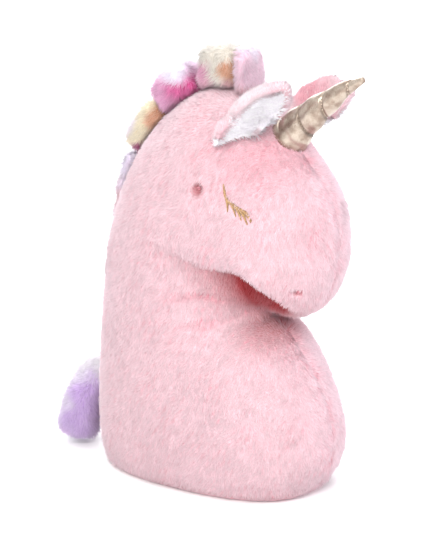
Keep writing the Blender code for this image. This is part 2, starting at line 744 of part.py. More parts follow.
def main():
    clear_scene()
    finishes = {
        "pink": material("pink_plush", PINK),
        "white": material("white_plush", WHITE),
        "filling": material("polyester_filling", FILLING),
        "gold": material("gold_fabric", GOLD, 0.35, 0.7),
        "thread": material("pink_thread", THREAD, 0.6),
        "lash": material("lash_thread", LASH, 0.5),
        "forelock_flap": material("blush_plush", BLUSH),
        "forelock_tuft": material("cream_plush", CREAM),
        "crest_tuft": material("magenta_plush", MAGENTA),
        "nape_tuft": material("yellow_plush", YELLOW),
        "nape_strip": material("lavender_plush", LAVENDER),
        "tail": material("purple_plush", PURPLE),
    }
    bottom_row = add_bust(finishes)
    add_base(bottom_row, finishes["pink"])
    add_pull_threads(finishes["thread"])
    add_eyes(finishes["lash"])
    add_horn(finishes)
    add_ears(finishes)
    add_mane(finishes)
    add_tail(finishes)


main()
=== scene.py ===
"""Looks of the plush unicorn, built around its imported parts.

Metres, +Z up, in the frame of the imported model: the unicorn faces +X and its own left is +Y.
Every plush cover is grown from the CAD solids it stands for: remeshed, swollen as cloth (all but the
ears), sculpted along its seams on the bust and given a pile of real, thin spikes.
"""

import math

import bmesh
import bpy
import numpy as np
from mathutils import Matrix, Vector
from mathutils.bvhtree import BVHTree


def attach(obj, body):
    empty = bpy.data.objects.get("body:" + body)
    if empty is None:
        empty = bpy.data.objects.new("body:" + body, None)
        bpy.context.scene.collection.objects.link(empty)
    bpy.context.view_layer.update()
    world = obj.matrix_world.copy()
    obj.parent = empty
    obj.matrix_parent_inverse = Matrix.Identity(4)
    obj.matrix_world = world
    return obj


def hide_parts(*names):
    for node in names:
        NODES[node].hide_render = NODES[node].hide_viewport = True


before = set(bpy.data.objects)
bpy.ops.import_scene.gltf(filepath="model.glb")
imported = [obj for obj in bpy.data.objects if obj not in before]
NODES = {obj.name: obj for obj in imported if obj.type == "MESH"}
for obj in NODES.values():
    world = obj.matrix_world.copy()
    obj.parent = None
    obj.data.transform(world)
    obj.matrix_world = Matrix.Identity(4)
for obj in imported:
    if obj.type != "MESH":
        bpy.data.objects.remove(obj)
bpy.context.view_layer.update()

# ---------------------------------------------------------------- studio (metres, degrees)

CAMERA_AZIMUTH, CAMERA_ELEVATION, CAMERA_DISTANCE = 35.0, 15.0, 2.0
CAMERA_SIDE, CAMERA_RISE = -0.0064, 0.1833  # where it looks, off the base's centre
SENSOR, LENS = 36.0, 147.2                  # millimetres
SKY_COLOUR, SKY_STRENGTH = (0.97, 0.98, 1.0, 1.0), 1.12
FLOOR_HALF, FLOOR_DROP = 9.0, 0.0003        # the paper lies a hair below the base
LAMP_AIM = (0.0, 0.0, 0.2)
LAMPS = (                                   # name, place, size, watts, colour
    ("key", (0.75, -1.9, 1.7), 1.2, 48.0, (1.0, 0.985, 0.97)),
    ("top", (-0.5, 0.2, 2.2), 1.6, 18.0, (1.0, 1.0, 1.0)),
    ("rim", (1.6, 1.3, 0.9), 1.0, 14.0, (0.88, 0.86, 1.0)),
    ("fill", (1.7, -1.0, 0.20), 0.8, 9.0, (1.0, 0.95, 0.96)),
    ("back", (-1.4, 1.7, 1.3), 1.3, 24.0, (1.0, 0.99, 1.0)),
)

# ---------------------------------------------------------------- body cover

BODY_VOXEL = 0.0040
BODY_PRESSURE, BODY_CAP = 3.0, 0.0035       # the cloth's inner pressure, and the furthest it may swell
SKIN_INSET = 0.0016         # the cloth lies this far inside the CAD surface, to leave room for pile
SEAM_DEPTH, SEAM_WIDTH = 0.0010, 0.0030
SEAM_SWELL, SEAM_SWELL_AT = 0.0006, 0.0090  # the cloth swells on both sides of the seam
BASE_SEAM_Z = 0.0036
BASE_SEAM_DEPTH, BASE_SEAM_SWELL = 0.0014, 0.0008
CREASE_DEPTH = 0.0014
LOOSENESS = 0.0007          # the cloth's slow waves
EYE_POCKET = (0.0206, 0.2776)
EYE_POCKET_SIZE, EYE_POCKET_DEPTH = (0.0052, 0.0062), 0.0050
MOUTH_POCKET = (0.1035, 0.1928)
MOUTH_POCKET_SIZE, MOUTH_POCKET_DEPTH = (0.0030, 0.0026), 0.0035

# The fold under the jaw, from the chin back over the cheek: X, Z and how deep it is.
JAW_FOLD = (
    (0.0990, 0.1700, 0.0000), (0.0949, 0.1779, 0.0060), (0.0904, 0.1870, 0.0090),
    (0.0816, 0.1945, 0.0110), (0.0722, 0.2010, 0.0110), (0.0640, 0.2084, 0.0095),
    (0.0523, 0.2112, 0.0075), (0.0394, 0.2111, 0.0055), (0.0247, 0.2118, 0.0036),
    (0.0000, 0.2202, 0.0022), (-0.0269, 0.2267, 0.0012), (-0.0450, 0.2330, 0.0000),
)
FOLD_EDGE, FOLD_FLOOR, FOLD_FADE = 0.0050, 0.0080, 0.0190
THROAT = (0.0800, 0.1760)   # the creases of the neck run back from here

# Soft spots of painted shade, under the horn and ear and in the throat: X, Z, how much longer than high,
# size and strength.
HORN_AND_EAR_SHADE_SPOTS = ((0.072, 0.302, 1.0, 0.022, 0.40), (0.040, 0.312, 1.0, 0.020, 0.30))
THROAT_SHADE_SPOTS = ((0.072, 0.184, 1.0, 0.020, 0.90), (0.070, 0.158, 1.0, 0.020, 0.55),
                (0.050, 0.190, 1.5, 0.020, 0.40))

# ---------------------------------------------------------------- pile

FLOOR_GAP = 0.0002          # nothing pokes through the floor
PILE_ROOT = 0.0004          # the spikes start this far below the cloth
PILE_CUT = 0.08             # spikes shorter than this share aren't grown
FILL_KEPT = 0.35            # share of a cover's triangles that its stuffing keeps

# ---------------------------------------------------------------- lash, ears, horn, tufts

LASH_LINE = ((0.0438, 0.2832), (0.0470, 0.2739), (0.0512, 0.2692), (0.0584, 0.2650),
             (0.0664, 0.2612), (0.0712, 0.2545))
LASHES = (                  # root and tip of each lash, X and Z
    ((0.0478, 0.2731), (0.0508, 0.2618)), ((0.0531, 0.2678), (0.0582, 0.2583)),
    ((0.0578, 0.2650), (0.0632, 0.2553)), ((0.0614, 0.2632), (0.0686, 0.2522)),
    ((0.0657, 0.2614), (0.0712, 0.2540)),
)
LASH_STITCH, STITCH_SPACING = 0.00042, 0.00050   # radius of a stitch, and from one to the next
LASH_LINE_WIDTHS = (0.0012, 0.0022, 0.0026, 0.0026, 0.0024, 0.0016)
LASH_WIDTHS = (0.0026, 0.0022, 0.0014, 0.0006)
EAR_VOXEL = 0.0011
EAR_EDGE_POINTS = 30        # points along each edge of an ear, root to tip
EAR_RIM_POINTS = 40
EAR_RIM_STOPS, EAR_RIM_RADII = (0, 0.12, 0.6, 0.85, 1), (0.0034, 0.0042, 0.0044, 0.0032, 0.0014)
EAR_ROOT_REAR, EAR_ROOT_FRONT = (0.0260, -0.0585, 0.3145), (0.0585, -0.0285, 0.3245)
HORN_AXIS = ((0.0672, 0.3148), (0.0824, 0.3300), (0.1007, 0.3456), (0.1259, 0.3648),
             (0.1430, 0.3740))
HORN_RADII = (0.0187, 0.0148, 0.0116, 0.0064, 0.0026)
HORN_TURNS, HORN_START = 4.2, 0.13    # turns of the thread, and where they start
HORN_GATHERS = 24           # gathers of the cloth in one turn of the thread
HORN_GROOVE = 0.24          # depth of the groove, as a share of the radius
HORN_RINGS, HORN_SIDES = 260, 216
HORN_CORE_RINGS, HORN_CORE_SIDES, HORN_CORE_INSET = 80, 48, 0.0016
HORN_TIP = 0.0016           # the point stands this far beyond the last ring
THREAD_FROM, THREAD_SHORT = 0.17, 8   # share of the horn below the thread, and rings beyond it
THREAD_LIFT, THREAD_POINTS = 1.06, 900
THREAD_RADIUS, BEAD_SWELL, BEAD_LENGTH = 0.00080, 0.00034, 0.0023
TUFT_VOXEL, TUFT_PRESSURE, TUFT_PILE = 0.0020, 3.0, 0.0066


def srgb(red, green, blue, level=1.0):
    """Linear colour for an sRGB one, scaled by a level to allow for the studio light."""
    def linear(value):
        return value / 12.92 if value <= 0.04045 else ((value + 0.055) / 1.055) ** 2.4
    return np.array([linear(red), linear(green), linear(blue)]) * level


PINK = srgb(0.950, 0.844, 0.866, 0.91)
PINK_FLECK_AND_SHADE = srgb(0.935, 0.725, 0.762, 0.90)
PINK_SHADE_AND_SEAM = srgb(0.640, 0.165, 0.185)
PINK_PALE = srgb(0.950, 0.885, 0.900, 0.92)
WHITE = srgb(0.985, 0.975, 0.990)
FIBRE = (0.86, 0.86, 0.84)
CREAM = srgb(0.900, 0.880, 0.845)
MAUVE = srgb(0.860, 0.640, 0.740)
TAN_SHADE = srgb(0.860, 0.700, 0.610)
BLUSH = srgb(0.940, 0.840, 0.885)
ROSE = srgb(0.870, 0.730, 0.745)
MAGENTA = srgb(0.860, 0.500, 0.680)
LILAC = srgb(0.945, 0.925, 0.965)
ORCHID = srgb(0.890, 0.700, 0.810)
STRAW = srgb(0.925, 0.885, 0.800)
PLUM = srgb(0.700, 0.430, 0.560)
LAVENDER = srgb(0.925, 0.895, 0.945)
PURPLE = srgb(0.830, 0.740, 0.890)
VIOLET = srgb(0.850, 0.760, 0.890)
PEARL = srgb(0.925, 0.910, 0.930)

# The tone of each ear's outer cloth: a point of its rear edge, size, colour and seed.
EAR_BLOTS = {"right": (18, (0.026, 0.026, 0.026), PINK_PALE, 27),
             "left": (12, (0.030, 0.030, 0.022), PINK_FLECK_AND_SHADE, 28)}


# ---------------------------------------------------------------- mesh building blocks

def linked(name, content):
    """A new object in the scene, of a mesh, lamp or camera."""
    item = bpy.data.objects.new(name, content)
    bpy.context.scene.collection.objects.link(item)
    return item


def made_mesh(name, places, faces):
    mesh = bpy.data.meshes.new(name)
    mesh.from_pydata(places, [], faces)
    mesh.shade_smooth()
    return mesh


def places_of(mesh):
    flat = np.empty(len(mesh.vertices) * 3)
    mesh.vertices.foreach_get("co", flat)
    return flat.reshape(-1, 3)


def normals_of(mesh):
    flat = np.empty(len(mesh.vertices) * 3)
    mesh.vertex_normals.foreach_get("vector", flat)
    return flat.reshape(-1, 3)


def triangles_of(mesh):
    mesh.calc_loop_triangles()
    flat = np.empty(len(mesh.loop_triangles) * 3, dtype=np.int32)
    mesh.loop_triangles.foreach_get("vertices", flat)
    return flat.reshape(-1, 3)


def move_to(mesh, places):
    mesh.vertices.foreach_set("co", np.asarray(places, dtype=np.float32).ravel())
    mesh.update()


def unit(vectors):
    return vectors / np.maximum(np.linalg.norm(vectors, axis=-1, keepdims=True), 1e-12)


def step_up(value, low, high):
    """0 below low, 1 above high, and a smooth rise between them."""
    share = np.clip((value - low) / (high - low), 0.0, 1.0)
    return share * share * (3 - 2 * share)


def bell(distance, width):
    return np.exp(-(distance / width) ** 2)


def ripple(points, size, seed):
    """Smooth noise over points, about -1 to 1, with features of the given size."""
    rng = np.random.default_rng(seed)
    total = np.zeros(len(points))
    for _ in range(8):
        way = unit(rng.normal(size=3))
        wave = 2 * math.pi / (size * rng.uniform(0.8, 1.7))
        total += np.sin(points @ way * wave + rng.uniform(0, 2 * math.pi))
    return total / 4


def bake_modifiers(item):
    """Replace an object's mesh by what its modifiers make of it."""
    graph = bpy.context.evaluated_depsgraph_get()
    mesh = bpy.data.meshes.new_from_object(item.evaluated_get(graph))
    item.modifiers.clear()
    item.data = mesh


def joined_copy(name, nodes):
    shape = bmesh.new()
    for node in nodes:
        shape.from_mesh(NODES[node].data)
    mesh = bpy.data.meshes.new(name)
    shape.to_mesh(mesh)
    shape.free()
    return linked(name, mesh)


def keep_largest(item):
    """Delete all but the outer skin of a remeshed solid."""
    shape = bmesh.new()
    shape.from_mesh(item.data)
    left, islands = set(shape.verts), []
    while left:
        edge = [left.pop()]
        island = list(edge)
        while edge:
            for link in edge.pop().link_edges:
                for vert in link.verts:
                    if vert in left:
                        left.remove(vert)
                        edge.append(vert)
                        island.append(vert)
        islands.append(island)
    islands.sort(key=len)
    for island in islands[:-1]:
        bmesh.ops.delete(shape, geom=island, context="VERTS")
    shape.to_mesh(item.data)
    shape.free()


def remesh(item, voxel):
    step = item.modifiers.new("remesh", "REMESH")
    step.mode = "VOXEL"
    step.voxel_size = voxel
    bake_modifiers(item)
    keep_largest(item)


def relax(item, rounds):
    """Smooth away the CAD's facets."""
    step = item.modifiers.new("relax", "SMOOTH")
    step.factor = 0.5
    step.iterations = rounds
    bake_modifiers(item)


def subdivide(item):
    step = item.modifiers.new("subdivide", "SUBSURF")
    step.levels = step.render_levels = 1
    bake_modifiers(item)
    item.data.shade_smooth()


def inflate(item, pressure, cap, held=None, frames=20):
    """Swell a closed cloth with inner pressure; no point moves further than the cap."""
    rest = places_of(item.data)
    cloth = item.modifiers.new("cloth", "CLOTH")
    settings = cloth.settings
    settings.quality = 5
    settings.mass = 0.2
    settings.use_pressure = True
    settings.uniform_pressure_force = pressure
    settings.effector_weights.gravity = 0.0
    settings.tension_stiffness = settings.compression_stiffness = 12.0
    settings.bending_stiffness = 0.4
    cloth.collision_settings.use_collision = False
    if held is not None:
        group = item.vertex_groups.new(name="held")
        for index in np.nonzero(held > 0.02)[0]:
            group.add([int(index)], float(held[index]), "REPLACE")
        settings.vertex_group_mass = "held"
    cloth.point_cache.frame_end = frames
    for step in range(1, frames + 1):
        bpy.context.scene.frame_set(step)
    graph = bpy.context.evaluated_depsgraph_get()
    swollen = item.evaluated_get(graph).to_mesh()
    moved = places_of(swollen) - rest
    item.evaluated_get(graph).to_mesh_clear()
    item.modifiers.remove(cloth)
    bpy.context.scene.frame_set(1)
    length = np.linalg.norm(moved, axis=1, keepdims=True)
    moved *= np.minimum(1.0, cap / np.maximum(length, 1e-9))
    move_to(item.data, rest + moved)


def paint(mesh, name, values):
    """Store a colour (three numbers) or a tone (one) at each vertex, for the materials to read."""
    values = np.asarray(values, dtype=np.float32)
    if values.ndim == 2:
        attribute = mesh.attributes.new(name, "FLOAT_COLOR", "POINT")
        full = np.ones((len(values), 4), dtype=np.float32)
        full[:, :3] = values
        attribute.data.foreach_set("color", full.ravel())
    else:
        attribute = mesh.attributes.new(name, "FLOAT", "POINT")
        attribute.data.foreach_set("value", values)


def ring_faces(rings, sides):
    """Quads between rings of points that lie one after the other."""
    return [(i * sides + j, i * sides + k, (i + 1) * sides + k, (i + 1) * sides + j)
            for i in range(rings - 1) for j, k in ((j, (j + 1) % sides) for j in range(sides))]


def tube(path, radii, sides=6):
    """Places and faces of a closed tube along a path."""
    path = np.asarray(path, dtype=float)
    radii = np.broadcast_to(radii, len(path))
    ahead = unit(np.gradient(path, axis=0))
    guide = np.array((0.13, 0.97, 0.21))
    one = unit(guide - ahead * (ahead @ guide)[:, None])
    two = np.cross(ahead, one)
    angles = np.arange(sides) * 2 * math.pi / sides
    places = np.vstack([p + r * (np.outer(np.cos(angles), a) + np.outer(np.sin(angles), b))
                        for p, r, a, b in zip(path, radii, one, two)])
    faces = ring_faces(len(path), sides)
    faces.append(tuple(range(sides - 1, -1, -1)))
    last = (len(path) - 1) * sides
    faces.append(tuple(range(last, last + sides)))
    return places, faces


def add_to(item, shape_data):
    """Add places and faces to an object's mesh."""
    extra = made_mesh("extra", *shape_data)
    shape = bmesh.new()
    shape.from_mesh(item.data)
    shape.from_mesh(extra)
    bmesh.ops.recalc_face_normals(shape, faces=shape.faces)
    shape.to_mesh(item.data)
    shape.free()
    bpy.data.meshes.remove(extra)


def merged(parts):
    """One list of places and one of faces from several."""
    places, faces, first = [], [], 0
    for some, corners in parts:
        places.append(some)
        faces += [tuple(first + k for k in face) for face in corners]
        first += len(some)
    return np.vstack(places), faces


# ---------------------------------------------------------------- materials

def blank(name):
    made = bpy.data.materials.new(name)
    made.use_nodes = True
    return made, made.node_tree.nodes, made.node_tree.links, made.node_tree.nodes["Principled BSDF"]


def noise(nodes, links, scale, detail=2.0, rough=0.5):
    where = nodes.new("ShaderNodeTexCoord")
    made = nodes.new("ShaderNodeTexNoise")
    made.inputs["Scale"].default_value = scale
    made.inputs["Detail"].default_value = detail
    made.inputs["Roughness"].default_value = rough
    links.new(where.outputs["Object"], made.inputs["Vector"])
    return made


def remapped(nodes, links, source, low, high):
    made = nodes.new("ShaderNodeMapRange")
    made.inputs["From Min"].default_value = 0.25
    made.inputs["From Max"].default_value = 0.75
    made.inputs["To Min"].default_value = low
    made.inputs["To Max"].default_value = high
    links.new(source, made.inputs["Value"])
    return made.outputs["Result"]


def bump(nodes, links, shader, source, strength, distance):
    made = nodes.new("ShaderNodeBump")
    made.inputs["Strength"].default_value = strength
    made.inputs["Distance"].default_value = distance
    links.new(source, made.inputs["Height"])
    links.new(made.outputs["Normal"], shader.inputs["Normal"])


def plush_material(name, sheen, knit=False):
    """Soft dyed polyester: its colour is painted on the mesh and flecked by noise."""
    made, nodes, links, shader = blank(name)
    dye = nodes.new("ShaderNodeAttribute")
    dye.attribute_name = "dye"
    flecks = noise(nodes, links, 650.0, 1.0)
    patches = noise(nodes, links, 45.0, 2.0)
    light = nodes.new("ShaderNodeMath")
    light.operation = "MULTIPLY"
    links.new(remapped(nodes, links, flecks.outputs["Fac"], 0.90, 1.06), light.inputs[0])
    links.new(remapped(nodes, links, patches.outputs["Fac"], 0.97, 1.02), light.inputs[1])
    tone = nodes.new("ShaderNodeHueSaturation")
    links.new(light.outputs["Value"], tone.inputs["Value"])
    links.new(dye.outputs["Color"], tone.inputs["Color"])
    links.new(tone.outputs["Color"], shader.inputs["Base Color"])
    shader.inputs["Roughness"].default_value = 0.88
    shader.inputs["Specular IOR Level"].default_value = 0.15
    shader.inputs["Sheen Weight"].default_value = sheen
    shader.inputs["Sheen Roughness"].default_value = 0.45
    shader.inputs["Sheen Tint"].default_value = (1.0, 0.93, 1.0, 1.0)
    if knit:
        weave = noise(nodes, links, 900.0, 3.0)
        bump(nodes, links, shader, weave.outputs["Fac"], 0.5, 0.0006)
    return made


def fibre_material():
    made, nodes, links, shader = blank("polyester_fibre")
    strands = noise(nodes, links, 320.0, 4.0, 0.7)
    ramp = nodes.new("ShaderNodeValToRGB")
    ramp.color_ramp.elements[0].color = (0.62, 0.62, 0.60, 1.0)
    ramp.color_ramp.elements[1].color = (*FIBRE, 1.0)
    links.new(strands.outputs["Fac"], ramp.inputs["Fac"])
    links.new(ramp.outputs["Color"], shader.inputs["Base Color"])
    shader.inputs["Roughness"].default_value = 0.95
    bump(nodes, links, shader, strands.outputs["Fac"], 0.6, 0.001)
    return made


def thread_material(name, dark, light):
    """Shiny twisted thread, streaked along its length."""
    made, nodes, links, shader = blank(name)
    streaks = noise(nodes, links, 900.0, 2.0)
    ramp = nodes.new("ShaderNodeValToRGB")
    ramp.color_ramp.elements[0].position = 0.35
    ramp.color_ramp.elements[0].color = (*dark, 1.0)
    ramp.color_ramp.elements[1].position = 0.65
    ramp.color_ramp.elements[1].color = (*light, 1.0)
    links.new(streaks.outputs["Fac"], ramp.inputs["Fac"])
    links.new(ramp.outputs["Color"], shader.inputs["Base Color"])
    shader.inputs["Roughness"].default_value = 0.45
    shader.inputs["Specular IOR Level"].default_value = 0.6
    shader.inputs["Sheen Weight"].default_value = 0.3
    bump(nodes, links, shader, streaks.outputs["Fac"], 0.3, 0.0002)
    return made


def gold_material():
    """Champagne foil bonded to a knit: softly crinkled, half metallic, darker and browner with painted
    shade in its grooves and between its gathers.
    """
    made, nodes, links, shader = blank("champagne_foil")
    painted_fold_shade = nodes.new("ShaderNodeAttribute")
    painted_fold_shade.attribute_name = "fold"
    crinkle = noise(nodes, links, 120.0, 3.0, 0.55)
    weave = noise(nodes, links, 1500.0, 1.0)
    ramp = nodes.new("ShaderNodeValToRGB")
    ramp.color_ramp.elements[0].position = 0.34
    ramp.color_ramp.elements[0].color = (0.27, 0.20, 0.155, 1.0)
    ramp.color_ramp.elements[1].position = 0.62
    ramp.color_ramp.elements[1].color = (0.47, 0.395, 0.325, 1.0)
    links.new(crinkle.outputs["Fac"], ramp.inputs["Fac"])
    # Painted shade: the fold tone mixes the foil toward dark brown.
    deep = nodes.new("ShaderNodeMix")
    deep.data_type = "RGBA"
    deep.inputs["B"].default_value = (0.08, 0.045, 0.03, 1.0)
    links.new(painted_fold_shade.outputs["Fac"], deep.inputs["Factor"])
    links.new(ramp.outputs["Color"], deep.inputs["A"])
    links.new(deep.outputs["Result"], shader.inputs["Base Color"])
    links.new(remapped(nodes, links, weave.outputs["Fac"], 0.24, 0.40), shader.inputs["Roughness"])
    shader.inputs["Metallic"].default_value = 0.80
    height = nodes.new("ShaderNodeMath")
    height.operation = "MULTIPLY_ADD"
    height.inputs[1].default_value = 0.12
    links.new(weave.outputs["Fac"], height.inputs[0])
    links.new(crinkle.outputs["Fac"], height.inputs[2])
    bump(nodes, links, shader, height.outputs["Value"], 0.35, 0.0008)
    return made


PLUSH = plush_material("plush_pile", 0.30)
BACKING = plush_material("plush_backing", 0.15, knit=True)
FIBRE_FILL = fibre_material()
LASH_THREAD = thread_material("lash_thread", (0.19, 0.095, 0.030), (0.47, 0.28, 0.110))
PINK_THREAD = thread_material("pink_thread", (0.42, 0.12, 0.15), (0.62, 0.24, 0.28))
GOLD_FOIL = gold_material()


# ---------------------------------------------------------------- pile

def scatter(mesh, spacing, rng):
    """Random places spread over a mesh about one per spacing squared, with their normals."""
    places, normals, corners = places_of(mesh), normals_of(mesh), triangles_of(mesh)
    a, b, c = (places[corners[:, k]] for k in range(3))
    area = 0.5 * np.linalg.norm(np.cross(b - a, c - a), axis=1)
    ladder = np.cumsum(area)
    count = int(ladder[-1] / spacing ** 2)
    picks = (np.arange(count) + rng.random(count)) / count * ladder[-1]
    chosen = corners[np.minimum(np.searchsorted(ladder, picks), len(corners) - 1)]
    u, v = rng.random(count), rng.random(count)
    over = u + v > 1
    u[over], v[over] = 1 - u[over], 1 - v[over]
    shares = np.stack((1 - u - v, u, v), axis=1)[:, :, None]
    return (places[chosen] * shares).sum(axis=1), unit((normals[chosen] * shares).sum(axis=1))


def grow_pile(name, cover, dye, flow, seed, length=0.0052, spacing=0.00125, width=0.0010,
              lean=58.0, sway=0.5, short=None):
    """A pile of leaning spikes on a cover. Each is one of the brushed tufts of the plush.

    dye gives a colour at each place, flow the way the nap lies, and short a share of the length.
    """
    rng = np.random.default_rng(seed)
    roots, up = scatter(cover.data, spacing, rng)
    share = np.ones(len(roots)) if short is None else short(roots, up)
    keep = share > PILE_CUT
    roots, up, share = roots[keep], up[keep], share[keep]
    count = len(roots)
    nap = flow(roots, up)
    nap = unit(nap - up * (nap * up).sum(axis=1)[:, None])
    turn = sway * ripple(roots, 0.030, seed + 1) + 0.30 * rng.normal(size=count)
    nap = nap * np.cos(turn)[:, None] + np.cross(up, nap) * np.sin(turn)[:, None]
    tilt = np.radians(lean) + 0.12 * rng.normal(size=count) + 0.18 * ripple(roots, 0.012, seed + 2)
    tilt = np.clip(tilt, 0.1, 1.35)[:, None]
    way = up * np.cos(tilt) + nap * np.sin(tilt)
    reach = length * share * rng.uniform(0.70, 1.12, count) * (1 + 0.12 * ripple(roots, 0.006, seed + 6))
    one = unit(np.cross(way, up))
    two = np.cross(way, one)
    places = np.empty((count, 4, 3))
    bends = np.empty((count, 4, 3))
    wide = (width * 0.5 * (0.5 + 0.5 * share))[:, None]
    for k in range(3):
        angle = 2 * math.pi * k / 3 + 0.5
        out = math.cos(angle) * one + math.sin(angle) * two
        places[:, k] = roots - up * PILE_ROOT + out * wide
        bends[:, k] = unit(up + 0.28 * out)
    places[:, 3] = roots + way * reach[:, None]
    places[..., 2] = np.maximum(places[..., 2], FLOOR_GAP)
    bends[:, 3] = unit(up + 0.30 * way)
    first = np.arange(count)[:, None, None] * 4
    faces = (first + np.array(((0, 1, 3), (1, 2, 3), (2, 0, 3)))[None]).reshape(-1, 3)
    mesh = made_mesh(name, places.reshape(-1, 3), faces)
    mesh.normals_split_custom_set_from_vertices(bends.reshape(-1, 3))
    clump = 1 + 0.050 * ripple(roots, 0.0045, seed + 3) + 0.030 * ripple(roots, 0.011, seed + 4)
    colour = np.minimum(dye(roots, up) * (clump * rng.uniform(0.93, 1.05, count))[:, None], 0.97)
    spread = np.repeat(colour[:, None, :], 4, axis=1)
    # Painted shade: each spike's three root corners are darker, as deep in the pile.
    spread[:, :3] = painted_pile_shade(spread[:, :3], 1.45)
    paint(mesh, "dye", spread.reshape(-1, 3))
    mesh.materials.append(PLUSH)
    return linked(name, mesh)


def painted_pile_shade(colour, power):
    """Painted shade deep in the pile: the dye darkened as where light meets it again and again."""
    return np.asarray(colour) ** power


def steady(*way):
    """A nap that lies the same way everywhere."""
    def flow(places, up):
        return np.tile(np.array(way), (len(places), 1))
    return flow


def tie_dye(base, blots, seed):
    """A base colour with soft-edged blots: each is (centre, size, colour)."""
    def dye(places, up):
        wobble = 0.006 * np.stack([ripple(places, 0.022, seed + k) for k in range(3)], axis=1)
        colour = np.tile(np.asarray(base, dtype=float), (len(places), 1))
        for centre, size, tint in blots:
            away = np.linalg.norm((places + wobble - np.array(centre)) / np.array(size), axis=1)
            share = (1 - step_up(away, 0.40, 1.30))[:, None]
            colour = colour * (1 - share) + np.asarray(tint) * share
        return colour
    return dye


def cover_up(item, dye):
    """Paint a cover's cloth, seen only between the spikes, darker with painted shade as deep in the pile.
    """
    mesh = item.data
    mesh.materials.clear()
    paint(mesh, "dye", painted_pile_shade(dye(places_of(mesh), normals_of(mesh)), 1.7))
    mesh.materials.append(BACKING)


def dress(item, body, slot, *nodes):
    """Put a finished piece on its body, hiding the CAD nodes it stands for; its slot is not used."""
    if nodes:
        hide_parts(*nodes)
    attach(item, body)


def stuffing(name, item, inset, node, body):
    """The fibre inside a cover, standing for its CAD filling."""
    mesh = item.data.copy()
    move_to(mesh, places_of(mesh) - normals_of(mesh) * inset)
    mesh.materials.clear()
    mesh.materials.append(FIBRE_FILL)
    core = linked(name, mesh)
    step = core.modifiers.new("lighten", "DECIMATE")
    step.ratio = FILL_KEPT
    bake_modifiers(core)
    dress(core, body, "filling", node)


# ---------------------------------------------------------------- the bust

def fold_depth(places):
    """How far below the jaw's fold each place is, and the fold's depth beside it."""
    line = np.array(JAW_FOLD)
    best = np.full(len(places), 1e9)
    below, depth = np.zeros(len(places)), np.zeros(len(places))
    flat = places[:, [0, 2]]
    for start, end in zip(line[:-1], line[1:]):
        run = end[:2] - start[:2]
        share = np.clip((flat - start[:2]) @ run / (run @ run), 0.0, 1.0)
        offset = flat - start[:2] - share[:, None] * run
        away = np.linalg.norm(offset, axis=1)
        side = np.sign(offset @ np.array((run[1], -run[0])))
        nearer = away < best
        best = np.where(nearer, away, best)
        below = np.where(nearer, -side * away, below)
        depth = np.where(nearer, start[2] + share * (end[2] - start[2]), depth)
    return below, depth


def pocket(places, centre, size):
    """1 in the middle of a dimple and 0 outside it."""
    away = np.hypot((places[:, 0] - centre[0]) / size[0], (places[:, 2] - centre[1]) / size[1])
    return 1 - step_up(away, 0.55, 1.15)


def sculpt_bust(item):
    """Press the seams, creases and dimples into the cloth, and the fold under the jaw."""
    mesh = item.data
    places, up = places_of(mesh), normals_of(mesh)
    side, height = np.abs(places[:, 1]), places[:, 2]
    off_base = step_up(height, 0.004, 0.012)

    push = -SKIN_INSET * off_base
    seam = SEAM_SWELL * bell(side - SEAM_SWELL_AT, 0.006) - SEAM_DEPTH * bell(side, SEAM_WIDTH)
    push += seam * off_base
    edge_on = 1 - np.abs(up[:, 2])
    push -= BASE_SEAM_DEPTH * bell(height - BASE_SEAM_Z, 0.0018) * edge_on
    push += BASE_SEAM_SWELL * bell(height - BASE_SEAM_Z - 0.010, 0.007) * edge_on
    push -= CREASE_DEPTH * neck_creases(places)
    push += LOOSENESS * ripple(places, 0.060, 11) * off_base
    push -= EYE_POCKET_DEPTH * pocket(places, EYE_POCKET, EYE_POCKET_SIZE)
    push -= MOUTH_POCKET_DEPTH * pocket(places, MOUTH_POCKET, MOUTH_POCKET_SIZE)
    out = places + up * push[:, None]

    below, depth = fold_depth(places)
    carve = step_up(below, -0.001, FOLD_EDGE) * np.exp(-np.clip(below - FOLD_FLOOR, 0, 1) ** 2
                                                       / (2 * FOLD_FADE ** 2))
    inward = np.minimum(depth * carve, np.maximum(side - 0.004, 0.0))
    swell = 0.25 * depth * bell(below + 0.010, 0.009)
    out[:, 1] -= np.sign(places[:, 1]) * (inward - swell)
    out[:, 2] = np.maximum(out[:, 2], 0.0)
    move_to(mesh, out)


def neck_creases(places):
    """Soft creases that run back across the neck from the throat, 0 to 1."""
    across, rise = THROAT[0] - places[:, 0], places[:, 2] - THROAT[1]
    away = np.hypot(across, rise)
    turn = np.arctan2(rise, across) + 0.08 * ripple(places, 0.040, 31)
    lines = step_up(np.sin(turn * 15.0 + 0.6), 0.35, 1.0)
    return lines * bell(away - 0.062, 0.030) * bell(turn + 0.05, 0.42)


def spots(places, wanted):
    """The strength, at each place, of the wanted spots of painted shade together."""
    return sum(strength * bell(np.hypot((places[:, 0] - x) / stretch, places[:, 2] - z), size)
               for x, z, stretch, size, strength in wanted)


